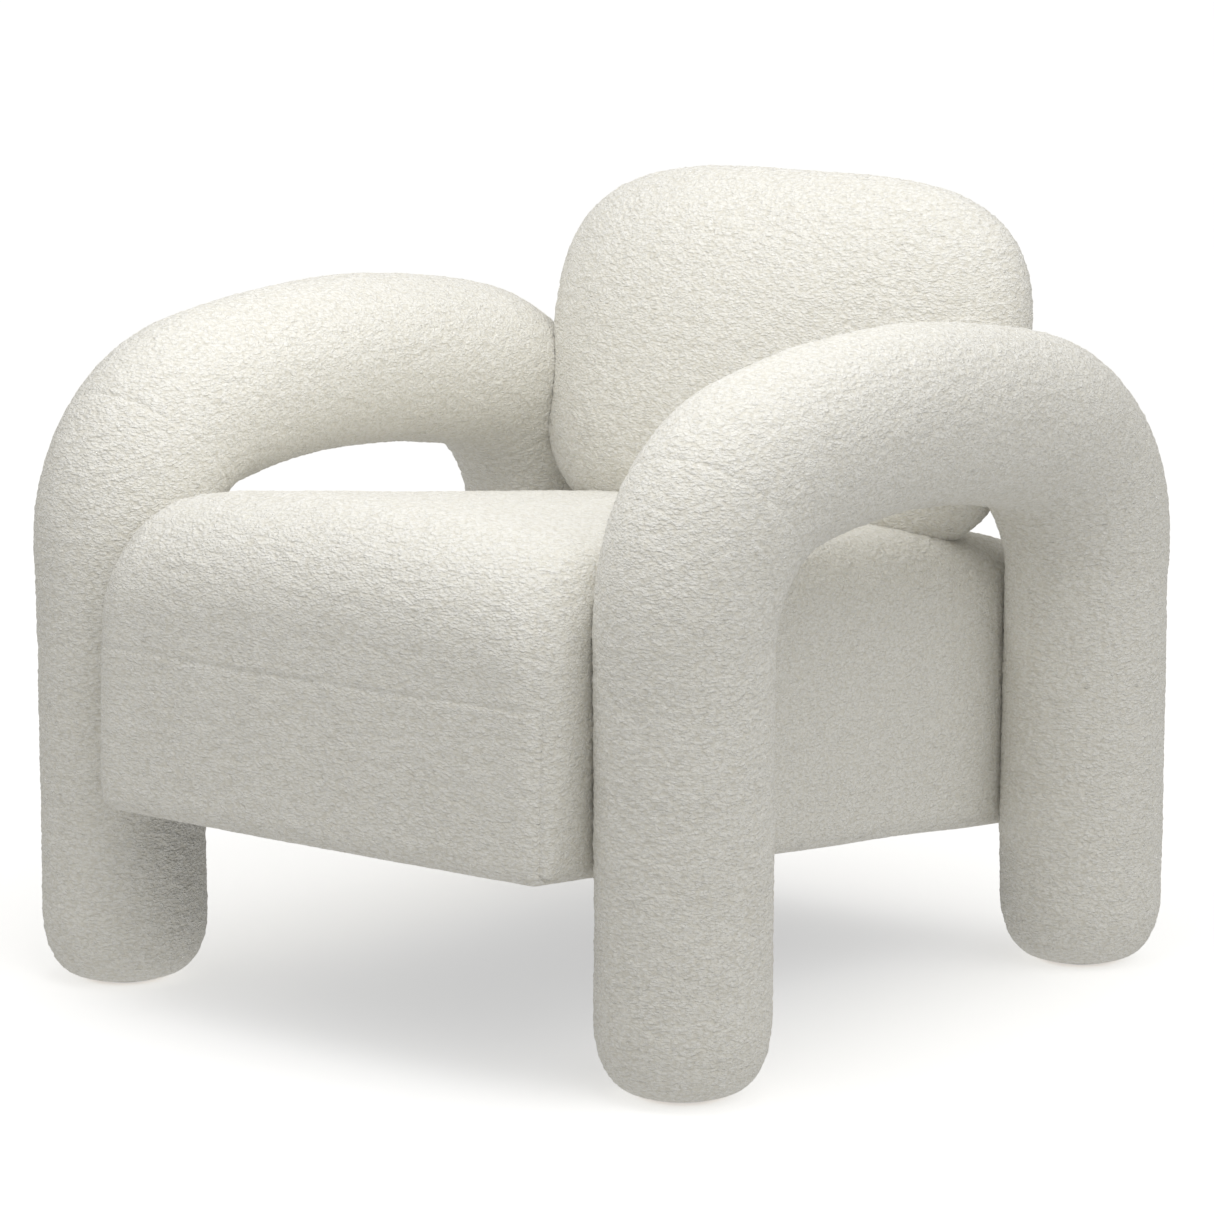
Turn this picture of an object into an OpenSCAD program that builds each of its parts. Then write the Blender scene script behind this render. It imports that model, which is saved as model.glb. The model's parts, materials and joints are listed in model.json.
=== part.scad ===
// Upholstered armchair: a padded seat block slung between two closed tubular arm hoops,
// with a plump back cushion on steel uprights. Millimetres, +Z up, the chair faces -Y,
// +X is the sitter's left. The origin is under the middle of the chair, on the floor.

/* [Arm hoops] */
// Distance from the middle of the chair to the middle plane of each hoop
arm_x = 330; // [315:1:360]
// Y of the front leg's axis
front_leg_y = -290; // [-310:1:-280]
// Y of the rear leg's axis
rear_leg_y = 325; // [318:1:332]
// Height of the arm tube's axis at its highest
arm_axis_z = 550; // [530:1:600]
// Outer radius of the arm tube
arm_r = 80; // [78:1:82]
// Outer radius of the legs below the seat
leg_r = 76; // [74:1:78]
// Bend radius of the front elbow
front_bend_r = 143; // [138:1:160]
// Angle that the front elbow turns through
front_bend = 78.3; // [74:0.1:80]
// Radius of the long curve along the top of the arm
crown_r = 900; // [850:10:1000]
// Bend radius of the rear elbow
rear_bend_r = 158; // [150:1:170]

/* [Seat] */
// Overall width of the seat block
seat_w = 540; // [536:1:548]
// Y of the front face
seat_front = -405; // [-415:1:-400]
// Y of the rear face
seat_back = 372; // [365:1:376]
// Height of the front bottom edge
seat_bottom_z = 191; // [185:1:200]
// Height of the crown of the front roll
seat_top_z = 474; // [465:1:480]
// Rearward fall of the seat top, in degrees
top_fall = 6.8; // [6:0.1:7.5]
// Rearward fall of the underside, in degrees
bottom_fall = 5.3; // [5:0.1:5.6]
// Radius of the front roll
roll_r = 110; // [95:1:120]

/* [Back cushion] */
// Half width of the cushion above the arms
back_half_w = 279; // [270:1:285]
// Half height of the cushion
back_half_h = 188; // [180:1:195]
// Half thickness at the middle
back_half_t = 88; // [80:1:92]
// Y of the cushion's centre
back_y = 290; // [285:1:296]
// Z of the cushion's centre
back_z = 549; // [545:1:555]
// Rearward lean, in degrees
back_lean = 11; // [9:0.5:12]

/* [Covers and timber] */
// Thickness of the boucle cover with its backing
cover_t = 3; // [2:0.5:3]
// Side of the square leg posts
post_w = 44; // [40:1:46]
// Thickness of the seat rails
rail_t = 28; // [24:1:30]
// Height of the seat rails
rail_h = 120; // [115:1:125]

/* [Hidden] */
$fn = 48;

big = 2000;
gap = 0.3;

// Hoop path in the YZ plane: a front elbow, a long crown and a rear elbow, each tangent to the next
f_elbow_y = front_leg_y + front_bend_r;
r_elbow_y = rear_leg_y - rear_bend_r;
f_end = 180 - front_bend;
crown_y = f_elbow_y - (crown_r - front_bend_r) * cos(f_end);
crown_z = arm_axis_z - crown_r;
r_start = acos((r_elbow_y - crown_y) / (crown_r - rear_bend_r));
front_h = crown_z + (crown_r - front_bend_r) * sin(f_end);
rear_h = crown_z + (crown_r - rear_bend_r) * sin(r_start);
f_elbow = [f_elbow_y, front_h];
r_elbow = [r_elbow_y, rear_h];
crown_c = [crown_y, crown_z];
// Hairline between butted pieces, and the same as an angle of the crown
hairline = 0.03;
butt_angle = hairline / crown_r * 180 / PI;
f_mitre = 135;
r_mitre = 45;
taper_z = 190;
// Foam blocks glued end to end in each curve of the arm
foam_blocks = 3;

// Feet
foot_flat_r = 42;
foot_round_z = 74;
glide_h = 5;
glide_r = 30;
disc_r = 38;
disc_t = 12;
post_z = glide_h + disc_t;
cover_z = glide_h - 1;

// Arm bolts: heights of the two bolts at each leg
front_bolt_z = [213, 268];
rear_bolt_z = [155, 212];
rear_bolt_y = rear_leg_y - 9;
bolt_r = 4;
bolt_hole_r = 4.5;
post_face_x = arm_x - post_w / 2;
rail_x = 218;
head_h = 5;
washer_t = 2;
t_nut_r = 5.2;
t_nut_l = 14;
flange_r = 9;
flange_t = 1.5;
dowel_r = 5;
dowel_l = 50;
dowel_x = [-11, 11];
hex_r = 6.5;
washer_r = 9;
glide_screw_r = 2;
glide_screw_head_r = 4;

// Seat frame, in a frame of its own that leans with the underside of the seat
front_rail_y = 30;
block_z = 47;
block_h = 28;
block_leg = 55;
block_edge = 6;
block_screw_r = 2.2;
block_screw_l = 18;
block_screw_y = 34;
rear_rail_y = 764;
spring_t = 3.6;
pad_t = 4;
dust_t = 2;
deck_z = rail_h + dust_t;
side_edge_r = 45;
crown = 12;
corner_r = 42;
spring_x = [-192, -96, 0, 96, 192];
spring_half_w = 24;
spring_loops = 20;
spring_l = 586;
clip_w = 18;
clip_l = 14;
clip_t = 1.5;
pad_l = 575;
deck_board_y = 600;
deck_board_t = 9;
// Seams of the front and rear panels
front_seam_z = 338;
seam_x = 262;
rear_seam_z = 330;

// Back parts, in a frame that leans with the cushion
board_w = 380;
board_h = [-120, 130];
board_t = 14;
upright_x = 130;
upright_w = 40;
upright_t = 6;
upright_h = [-392, 70];
spring_rail_h = [-402, -306];
arm_side_x = 246;
squeeze_h = [40, 88];
board_bolt_h = [-90, 40];
upright_bolt_h = [-380, -325];
board_hole_r = 38;
board_hole_x = 55;

wood = "burlywood";
ply = "tan";
foam = "khaki";
boucle = "ivory";
steel = "silver";

function arc(c, r, a0, a1, n) = [for (i = [0:n])
    let (a = a0 + (a1 - a0) * i / n) c + r * [cos(a), sin(a)]];
function spow(v, e) = sign(v) * pow(abs(v), e);

// ---------- shared shapes ----------

// Draws its children for the left arm, or mirrored for the right arm
module on_side(side) {
    if (side > 0) children();
    else mirror([1, 0, 0]) children();
}

// Spins the children's outline about an X axis through c, from angle a0 to a1 in the YZ plane
module bend(c, r, a0, a1) {
    translate([arm_x, c[0], c[1]]) rotate([90, 0, 90]) rotate([0, 0, a0])
        rotate_extrude(angle = a1 - a0, $fn = 240) translate([r, 0]) children();
}

// The arm between two elbow angles, with the children's outline as its section, in three butted pieces
module arch(from, to) {
    bend(f_elbow, front_bend_r, f_end, from) children();
    bend(crown_c, crown_r, r_start + butt_angle, f_end - butt_angle) children();
    bend(r_elbow, rear_bend_r, to, r_start) children();
}

// Outline of a leg from the flat of its foot to the elbow, shrunk by i
function leg_line(h, i) = concat(
    [for (a = [0:15:90])
        [foot_flat_r - i + (leg_r - foot_flat_r) * sin(a), cover_z + i + foot_round_z * (1 - cos(a))]],
    [[leg_r - i, taper_z], [arm_r - i, h]]
);

module leg_body(y, h, i) {
    translate([arm_x, y, 0]) rotate_extrude() polygon(concat([[0, cover_z + i]], leg_line(h, i), [[0, h]]));
}

// A cover panel round the leg, open at the top and round the base disc
module leg_shell(y, h) {
    inner = leg_line(h, cover_t);
    translate([arm_x, y, 0]) rotate_extrude() polygon(concat(
        [[disc_r, cover_z]], leg_line(h, 0),
        [for (k = [len(inner) - 1:-1:0]) inner[k]], [[disc_r, cover_z + cover_t]]));
}

module leg_bores(y, heights, r) {
    for (z = heights) translate([rail_x, y, z]) rotate([0, 90, 0]) cylinder(r = r, h = arm_x - rail_x);
}

// ---------- arm parts ----------

module leg_post(y, h, bolt_y, heights) {
    color(wood) difference() {
        translate([arm_x - post_w / 2, y - post_w / 2, post_z]) cube([post_w, post_w, h - post_z]);
        leg_bores(bolt_y, heights, t_nut_r);
        translate([arm_x, y, post_z - 1]) cylinder(r = glide_screw_r, h = 19);
        dowel_pair(y, h);
    }
}

module arm_arch() {
    color(ply) difference() {
        arch(180, 0) square(post_w, center = true);
        dowel_pair(front_leg_y, front_h);
        dowel_pair(rear_leg_y, rear_h);
    }
}

// Two dowels that join the top of a post to the arch
module dowel_pair(y, h) {
    for (x = dowel_x) translate([arm_x + x, y, h - dowel_l / 2]) cylinder(r = dowel_r, h = dowel_l);
}

module leg_foam(y, h, bolt_y, heights) {
    color(foam) difference() {
        leg_body(y, h, cover_t);
        translate([arm_x - post_w / 2, y - post_w / 2, post_z]) cube([post_w, post_w, h]);
        translate([arm_x, y, 0]) cylinder(r = disc_r, h = post_z);
        leg_bores(bolt_y, heights, bolt_hole_r);
        translate([post_face_x - flange_t - rail_x, 0, 0]) intersection() {
            leg_bores(bolt_y, heights, flange_r);
            translate([rail_x, -big / 2, 0]) cube([flange_t, big, big]);
        }
    }
}

// One curve of the arm foam, glued up from short blocks
module foam_curve(c, r, a0, a1) {
    step = (a1 - a0) / foam_blocks;
    trim = hairline / r * 90 / PI;
    for (k = [0:foam_blocks - 1])
        bend(c, r, a0 + k * step + trim, a0 + (k + 1) * step - trim) difference() {
            circle(arm_r - cover_t, $fn = 48);
            square(post_w, center = true);
        }
}

module arm_foam() {
    color(foam) {
        foam_curve(f_elbow, front_bend_r, f_end, 180);
        foam_curve(crown_c, crown_r, r_start, f_end);
        foam_curve(r_elbow, rear_bend_r, 0, r_start);
    }
}

module leg_cover(y, h, bolt_y, heights) {
    difference() {
        leg_shell(y, h - hairline);
        leg_bores(bolt_y, heights, bolt_hole_r);
    }
}

module tube_wall() {
    difference() {
        circle(arm_r, $fn = 48);
        circle(arm_r - cover_t, $fn = 48);
    }
}

module front_leg_cover() {
    color(boucle) {
        leg_cover(front_leg_y, front_h, front_leg_y, front_bolt_z);
        bend(f_elbow, front_bend_r, f_mitre, 180) tube_wall();
    }
}

module rear_leg_cover() {
    color(boucle) {
        leg_cover(rear_leg_y, rear_h, rear_bolt_y, rear_bolt_z);
        bend(r_elbow, rear_bend_r, 0, r_mitre) tube_wall();
    }
}

module arm_cover() {
    color(boucle) arch(f_mitre, r_mitre) tube_wall();
}

// ---------- the arms' nodes, left then right ----------

module left_front_post() { leg_post(front_leg_y, front_h, front_leg_y, front_bolt_z); }
module left_rear_post() { leg_post(rear_leg_y, rear_h, rear_bolt_y, rear_bolt_z); }
module left_arm_arch() { arm_arch(); }
module left_front_leg_foam() { leg_foam(front_leg_y, front_h, front_leg_y, front_bolt_z); }
module left_rear_leg_foam() { leg_foam(rear_leg_y, rear_h, rear_bolt_y, rear_bolt_z); }
module left_arm_foam() { arm_foam(); }
module left_front_leg_cover() { front_leg_cover(); }
module left_rear_leg_cover() { rear_leg_cover(); }
module left_arm_cover() { arm_cover(); }
module right_front_post() { on_side(-1) left_front_post(); }
module right_rear_post() { on_side(-1) left_rear_post(); }
module right_arm_arch() { on_side(-1) left_arm_arch(); }
module right_front_leg_foam() { on_side(-1) left_front_leg_foam(); }
module right_rear_leg_foam() { on_side(-1) left_rear_leg_foam(); }
module right_arm_foam() { on_side(-1) left_arm_foam(); }
module right_front_leg_cover() { on_side(-1) left_front_leg_cover(); }
module right_rear_leg_cover() { on_side(-1) left_rear_leg_cover(); }
module right_arm_cover() { on_side(-1) left_arm_cover(); }

// Puts the children at the foot of every leg
module at_feet() {
    for (x = [-arm_x, arm_x], y = [front_leg_y, rear_leg_y]) translate([x, y, 0]) children();
}

module base_discs() {
    color(ply) at_feet() difference() {
        translate([0, 0, glide_h]) cylinder(r = disc_r, h = disc_t);
        cylinder(r = glide_screw_r, h = 40);
    }
}

module glides() {
    color("dimgray") at_feet() difference() {
        rotate_extrude() polygon([[0, 0], [glide_r - 2, 0], [glide_r, 2], [glide_r, glide_h], [0, glide_h]]);
        translate([0, 0, -1]) cylinder(r = glide_screw_r, h = 10);
        translate([0, 0, -1]) cylinder(r = glide_screw_head_r, h = 4);
    }
}

module glide_screws() {
    color(steel) at_feet() {
        translate([0, 0, 1]) cylinder(r = glide_screw_head_r, h = 2);
        translate([0, 0, 3]) cylinder(r = glide_screw_r, h = 32);
    }
}

module arch_dowels() {
    color(wood) for (side = [-1, 1]) on_side(side) {
        dowel_pair(front_leg_y, front_h);
        dowel_pair(rear_leg_y, rear_h);
    }
}

// Calls the children at each arm bolt, with +Z along the bolt, from the rail towards the post
module at_arm_bolts() {
    for (side = [-1, 1]) on_side(side) {
        for (z = front_bolt_z) translate([rail_x, front_leg_y, z]) rotate([0, 90, 0]) children();
        for (z = rear_bolt_z) translate([rail_x, rear_bolt_y, z]) rotate([0, 90, 0]) children();
    }
}

module arm_bolts() {
    color(steel) at_arm_bolts() {
        translate([0, 0, -washer_t - head_h]) cylinder(r = hex_r, h = head_h, $fn = 6);
        translate([0, 0, -washer_t]) cylinder(r = bolt_r, h = post_face_x - rail_x + washer_t + t_nut_l);
    }
}

module arm_bolt_washers() {
    color(steel) at_arm_bolts() difference() {
        translate([0, 0, -washer_t]) cylinder(r = washer_r, h = washer_t);
        translate([0, 0, -5]) cylinder(r = bolt_r, h = 10);
    }
}

module arm_t_nuts() {
    color(steel) at_arm_bolts() translate([0, 0, post_face_x - rail_x]) difference() {
        union() {
            cylinder(r = t_nut_r, h = t_nut_l);
            translate([0, 0, -flange_t]) cylinder(r = flange_r, h = flange_t);
        }
        translate([0, 0, -3]) cylinder(r = bolt_r, h = 30);
    }
}

// ---------- seat ----------

// Side outline of the seat block in the YZ plane
function seat_side(i) = let (
    top_c = [seat_front + roll_r, seat_top_z - roll_r],
    run = seat_back - seat_front - roll_r,
    back_top = seat_top_z - run * tan(top_fall),
    back_bottom = seat_bottom_z - (seat_back - seat_front) * tan(bottom_fall)
) concat(
    arc(top_c, roll_r - i, 180, 90 - top_fall, 8),
    arc([seat_back - 40, back_top - 38], 40 - i, 90 - top_fall, 0, 4),
    arc([seat_back - 10, back_bottom + 12], 10 - i, 0, -90, 2),
    arc([seat_front + 16, seat_bottom_z + 14], 16 - i, 270 - bottom_fall, 180, 3)
);

// Front outline in the XZ plane, with the crown and the rounded side edges
function seat_front_half(i) = concat(
    [for (x = [0:45:180]) [x, -crown * pow(x / (seat_w / 2 - side_edge_r), 2) - i]],
    arc([seat_w / 2 - side_edge_r, -crown - side_edge_r], side_edge_r - i, 85, 0, 6),
    [[seat_w / 2 - i, -big / 2], [0, -big / 2]]
);

// Plan outline in the XY plane
function seat_plan_half(i) = concat(
    [[0, seat_front + i]],
    arc([seat_w / 2 - corner_r, seat_front + corner_r], corner_r - i, -90, 0, 5),
    arc([seat_w / 2 - corner_r / 2, seat_back - corner_r / 2], corner_r / 2 - i, 0, 90, 3),
    [[0, seat_back - i]]
);

// Closes a half outline that starts and ends on the middle line with its mirror image
module both_halves(points) {
    polygon(concat(points, [for (k = [len(points) - 2:-1:1]) [-points[k][0], points[k][1]]]));
}

module legs_cut(extra) {
    for (side = [-1, 1]) on_side(side) {
        leg_column(front_leg_y, front_h, extra);
        leg_column(rear_leg_y, rear_h, extra);
        translate([arm_x, front_leg_y + 12, front_h - 10]) cylinder(r = arm_r + extra + 2, h = 120);
    }
}

module leg_column(y, h, extra) {
    translate([arm_x, y, 0]) {
        cylinder(r = leg_r + extra, h = taper_z);
        translate([0, 0, taper_z]) cylinder(r1 = leg_r + extra, r2 = arm_r + extra, h = h - taper_z);
        translate([0, 0, h]) cylinder(r = arm_r + extra, h = 120);
    }
}

// The seat block, shrunk all round by i, with hollows where the legs press into its sides
module seat_block(i, leg_gap) {
    difference() {
        intersection() {
            translate([-seat_w, 0, 0]) rotate([90, 0, 90]) linear_extrude(2 * seat_w) polygon(seat_side(i));
            translate([0, seat_front + roll_r, seat_top_z]) rotate([90 - top_fall, 0, 0])
                translate([0, 0, -big / 2]) linear_extrude(big) both_halves(seat_front_half(i));
            linear_extrude(big) both_halves(seat_plan_half(i));
        }
        legs_cut(leg_gap);
    }
}

// Places children in the seat frame's leaning frame
module in_seat_frame() {
    translate([0, seat_front, seat_bottom_z]) rotate([-bottom_fall, 0, 0]) children();
}

// Places children in the back's leaning frame
module in_back_frame() {
    translate([0, back_y, back_z]) rotate([-back_lean, 0, 0]) children();
}

module seat_front_rail() {
    color(wood) in_seat_frame()
        translate([-rail_x, front_rail_y, dust_t]) cube([2 * rail_x, rail_t, rail_h]);
}

module seat_rear_rail() {
    color(wood) in_seat_frame()
        translate([-rail_x, rear_rail_y - rail_t, dust_t]) cube([2 * rail_x, rail_t, rail_h]);
}

module side_rail() {
    color(wood) difference() {
        in_seat_frame()
            translate([rail_x, front_rail_y, dust_t]) cube([rail_t, rear_rail_y - front_rail_y, rail_h]);
        leg_bores(front_leg_y, front_bolt_z, bolt_hole_r);
        leg_bores(rear_bolt_y, rear_bolt_z, bolt_hole_r);
    }
}

module seat_left_rail() { side_rail(); }
module seat_right_rail() { on_side(-1) side_rail(); }

module seat_spring_rail() {
    color(wood) difference() {
        in_back_frame() translate([-rail_x, board_t / 2 - rail_t, spring_rail_h[0]])
            cube([2 * rail_x, rail_t, spring_rail_h[1] - spring_rail_h[0]]);
        upright_bolt_bores(bolt_r);
    }
}

// Triangular glue blocks in the four corners of the seat frame
module seat_corner_blocks() {
    color(wood) in_seat_frame() for (side = [-1, 1]) on_side(side) {
        corner_block(front_rail_y + rail_t, 1);
        corner_block(rear_rail_y - rail_t, -1);
    }
}

module corner_block(y, way) {
    outline = [[0, 0], [-block_leg, 0], [-block_leg, block_edge], [-block_edge, block_leg], [0, block_leg]];
    translate([0, 0, block_z]) difference() {
        linear_extrude(block_h) polygon([for (p = outline) [rail_x + p[0], y + way * p[1]]]);
        translate([rail_x - block_screw_l, y + way * block_screw_y, block_h / 2])
            rotate([0, 90, 0]) cylinder(r = block_screw_r, h = 2 * block_screw_l);
    }
}

module corner_block_screws() {
    color(steel) intersection() {
        in_seat_frame() for (side = [-1, 1]) on_side(side) {
            for (p = [[front_rail_y + rail_t, 1], [rear_rail_y - rail_t, -1]])
                translate([rail_x - block_screw_l, p[0] + p[1] * block_screw_y, block_z + block_h / 2])
                    rotate([0, 90, 0]) cylinder(r = block_screw_r, h = block_screw_l);
        }
        translate([-rail_x, -big / 2, 0]) cube([2 * rail_x, big, big]);
    }
}

// Outline of a zigzag spring, half a wire to one side of its centre line
function spring_edge(off) = [for (k = [0:spring_loops - 1], s = [0:4])
    let (pitch = spring_l / spring_loops, a = 180 * s / 4 - 90, way = k % 2 == 0 ? 1 : -1,
         rr = pitch / 2 + off * way)
    [way * (spring_half_w - pitch / 2 + rr * cos(a)), (k + 0.5) * pitch + rr * sin(a)]];

module seat_springs() {
    color(steel) in_seat_frame() for (x = spring_x)
        translate([x, front_rail_y + rail_t - 8, deck_z]) linear_extrude(spring_t)
            polygon(concat(spring_edge(spring_t / 2),
                [for (p = [spring_loops * 5 - 1:-1:0]) spring_edge(-spring_t / 2)[p]]));
}

// Steel clips nailed on the rails over the ends of the springs
module spring_clips() {
    color("dimgray") in_seat_frame() for (x = spring_x, y = [front_rail_y + 4, front_rail_y + rail_t + spring_l - 6])
        translate([x - clip_w / 2, y, deck_z]) difference() {
            cube([clip_w, clip_l, spring_t + clip_t]);
            translate([-1, -1, -1]) cube([clip_w + 2, clip_l + 2, spring_t + 1 + gap]);
        }
}

module spring_pad() {
    color("gray") in_seat_frame() translate([-rail_x, front_rail_y + rail_t, deck_z + spring_t + clip_t])
        cube([2 * rail_x, pad_l, pad_t]);
}

module rear_deck_board() {
    color(ply) difference() {
        in_seat_frame() translate([-rail_x, front_rail_y + rail_t + deck_board_y, deck_z])
            cube([2 * rail_x, rear_rail_y - front_rail_y - rail_t - deck_board_y, deck_board_t]);
        upright_slots(1.5);
    }
}

module upright_slots(extra) {
    in_back_frame() for (x = [-upright_x, upright_x])
        translate([x - upright_w / 2 - extra, board_t / 2 - extra, upright_h[0]])
            cube([upright_w + 2 * extra, upright_t + 2 * extra, upright_h[1] - upright_h[0]]);
}

module seat_foam() {
    color(foam) difference() {
        seat_block(cover_t, cover_t + gap);
        in_seat_frame() translate([-rail_x - rail_t, front_rail_y, -20])
            cube([2 * (rail_x + rail_t), rear_rail_y - front_rail_y, deck_z + 20 + spring_t + clip_t + pad_t]);
        upright_slots(1.5);
        at_arm_bolts() cylinder(r = bolt_hole_r, h = 60);
    }
}

module seat_shell() {
    difference() {
        seat_block(0, gap);
        seat_block(cover_t, cover_t + gap);
        upright_slots(1.5);
        at_arm_bolts() cylinder(r = bolt_hole_r, h = 60);
        in_seat_frame() translate([-seat_w / 2 + 20, 20, -30]) cube([seat_w - 40, rear_rail_y - 8, 40]);
    }
}

module front_panel_space() {
    translate([-seam_x, seat_front - 10, 0]) cube([2 * seam_x, 14 + corner_r, front_seam_z]);
}

module rear_panel_space() {
    translate([-seat_w / 2, seat_back - 12, 0]) cube([seat_w, 60, rear_seam_z]);
}

module seat_front_cover() {
    color(boucle) intersection() {
        seat_shell();
        front_panel_space();
    }
}

module seat_rear_cover() {
    color(boucle) intersection() {
        seat_shell();
        rear_panel_space();
    }
}

module seat_cover() {
    color(boucle) difference() {
        seat_shell();
        front_panel_space();
        rear_panel_space();
    }
}

module dust_cover() {
    color("dimgray") in_seat_frame()
        translate([-rail_x - rail_t + 1, 22, 0]) cube([2 * (rail_x + rail_t - 1), rear_rail_y - 16, dust_t]);
}

// ---------- back ----------

// Face outline of the cushion, squeezed between the arms below the arm tops
function side_limit(h) = h < squeeze_h[0] ? arm_side_x
    : min(back_half_w, arm_side_x + (back_half_w - arm_side_x) * (h - squeeze_h[0]) / (squeeze_h[1] - squeeze_h[0]));
function face_outline(i) = [for (a = [0:9:351])
    let (x = back_half_w * spow(cos(a), 2 / 3.4), h = back_half_h * spow(sin(a), 2 / 3.4))
    [sign(x) * (min(abs(x), side_limit(h)) - i * abs(cos(a))), h - i * sin(a)]];
function bulge_outline(half, e, i) = [for (a = [0:12:348])
    [(half - i) * spow(cos(a), 2 / e), (back_half_t - i) * sin(a)]];

// The cushion, shrunk all round by i, resting on the seat
module back_block(i) {
    difference() {
        in_back_frame() intersection() {
            rotate([90, 0, 0]) translate([0, 0, -back_half_t])
                linear_extrude(2 * back_half_t) polygon(face_outline(i));
            translate([0, 0, -300]) linear_extrude(600) polygon(bulge_outline(back_half_w, 3, i));
            translate([-400, 0, 0]) rotate([90, 0, 90]) linear_extrude(800)
                polygon([for (p = bulge_outline(back_half_h, 2.6, i)) [p[1], p[0]]]);
        }
        translate([0, seat_front + roll_r, seat_top_z + i + gap]) rotate([-top_fall, 0, 0])
            translate([-big / 2, 0, -big]) cube([big, big, big]);
    }
}

module front_half(i) {
    intersection() {
        back_block(i);
        in_back_frame() translate([-big / 2, -big, -big / 2]) cube([big, big, big]);
    }
}

module rear_half(i) {
    intersection() {
        back_block(i);
        in_back_frame() translate([-big / 2, 0, -big / 2]) cube([big, big, big]);
    }
}

module board_space() {
    in_back_frame() translate([-board_w / 2, -board_t / 2, board_h[0]])
        cube([board_w, board_t, board_h[1] - board_h[0]]);
}

module back_board() {
    color(ply) difference() {
        board_space();
        board_bolt_bores(bolt_r);
        in_back_frame() for (x = [-board_hole_x, board_hole_x])
            translate([x, board_t, 10]) rotate([90, 0, 0]) cylinder(r = board_hole_r, h = 2 * board_t);
    }
}

module board_bolt_bores(r) {
    in_back_frame() for (x = [-upright_x, upright_x], h = board_bolt_h)
        translate([x, 40, h]) rotate([90, 0, 0]) cylinder(r = r, h = 80);
}

module upright_bolt_bores(r) {
    in_back_frame() for (x = [-upright_x, upright_x], h = upright_bolt_h)
        translate([x, 40, h]) rotate([90, 0, 0]) cylinder(r = r, h = 80);
}

module back_uprights() {
    color(steel) difference() {
        in_back_frame() for (x = [-upright_x, upright_x])
            translate([x - upright_w / 2, board_t / 2, upright_h[0]])
                cube([upright_w, upright_t, upright_h[1] - upright_h[0]]);
        board_bolt_bores(bolt_r);
        upright_bolt_bores(bolt_r);
    }
}

// A hex bolt through an upright from behind, l long under its head
module hex_bolt(l) {
    translate([0, board_t / 2 + upright_t, 0]) rotate([90, 0, 0]) {
        translate([0, 0, -head_h]) cylinder(r = hex_r, h = head_h, $fn = 6);
        cylinder(r = bolt_r, h = l);
    }
}

module back_board_bolts() {
    color(steel) in_back_frame() for (x = [-upright_x, upright_x], h = board_bolt_h)
        translate([x, 0, h]) hex_bolt(upright_t + board_t);
}

module upright_bolts() {
    color(steel) in_back_frame() for (x = [-upright_x, upright_x], h = upright_bolt_h)
        translate([x, 0, h]) hex_bolt(upright_t + rail_t);
}

// Room in the foam for the board, its bolts and the uprights
module back_frame_room() {
    board_space();
    upright_slots(0);
    in_back_frame() for (x = [-upright_x, upright_x], h = board_bolt_h)
        translate([x, board_t / 2 + upright_t + head_h, h]) rotate([90, 0, 0]) cylinder(r = 8, h = head_h + 1);
}

module back_front_foam() {
    color(foam) difference() {
        front_half(cover_t);
        back_frame_room();
    }
}

module back_rear_foam() {
    color(foam) difference() {
        rear_half(cover_t);
        back_frame_room();
    }
}

module back_front_cover() {
    color(boucle) difference() {
        front_half(0);
        back_block(cover_t);
    }
}

module back_rear_cover() {
    color(boucle) difference() {
        rear_half(0);
        back_block(cover_t);
        upright_slots(1);
    }
}

left_front_post();
left_rear_post();
left_arm_arch();
left_front_leg_foam();
left_rear_leg_foam();
left_arm_foam();
left_front_leg_cover();
left_rear_leg_cover();
left_arm_cover();
right_front_post();
right_rear_post();
right_arm_arch();
right_front_leg_foam();
right_rear_leg_foam();
right_arm_foam();
right_front_leg_cover();
right_rear_leg_cover();
right_arm_cover();
base_discs();
glides();
glide_screws();
arch_dowels();
arm_bolts();
arm_bolt_washers();
arm_t_nuts();
seat_front_rail();
seat_rear_rail();
seat_left_rail();
seat_right_rail();
seat_spring_rail();
seat_corner_blocks();
corner_block_screws();
seat_springs();
spring_clips();
spring_pad();
rear_deck_board();
seat_foam();
seat_cover();
seat_front_cover();
seat_rear_cover();
dust_cover();
back_board();
back_uprights();
back_front_foam();
back_rear_foam();
back_front_cover();
back_rear_cover();
back_board_bolts();
upright_bolts();
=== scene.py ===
import json
import math

import bpy
import numpy as np
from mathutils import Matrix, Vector
from mathutils.kdtree import KDTree


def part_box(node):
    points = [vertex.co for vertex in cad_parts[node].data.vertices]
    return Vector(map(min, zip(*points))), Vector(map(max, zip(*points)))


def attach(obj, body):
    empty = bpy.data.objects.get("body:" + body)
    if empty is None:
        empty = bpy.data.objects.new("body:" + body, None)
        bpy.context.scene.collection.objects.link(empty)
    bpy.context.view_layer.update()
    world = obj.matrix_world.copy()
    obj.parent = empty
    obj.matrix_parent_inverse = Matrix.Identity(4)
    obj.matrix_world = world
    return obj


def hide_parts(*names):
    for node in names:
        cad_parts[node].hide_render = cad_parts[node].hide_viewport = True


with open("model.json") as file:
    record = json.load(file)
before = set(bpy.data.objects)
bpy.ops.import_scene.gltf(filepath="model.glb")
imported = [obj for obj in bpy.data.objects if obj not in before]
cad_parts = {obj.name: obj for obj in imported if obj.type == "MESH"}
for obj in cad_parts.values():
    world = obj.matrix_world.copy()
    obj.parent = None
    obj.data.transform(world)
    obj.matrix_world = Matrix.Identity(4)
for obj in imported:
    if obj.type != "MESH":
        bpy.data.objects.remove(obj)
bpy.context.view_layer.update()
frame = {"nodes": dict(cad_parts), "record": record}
MM = 0.001


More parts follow.
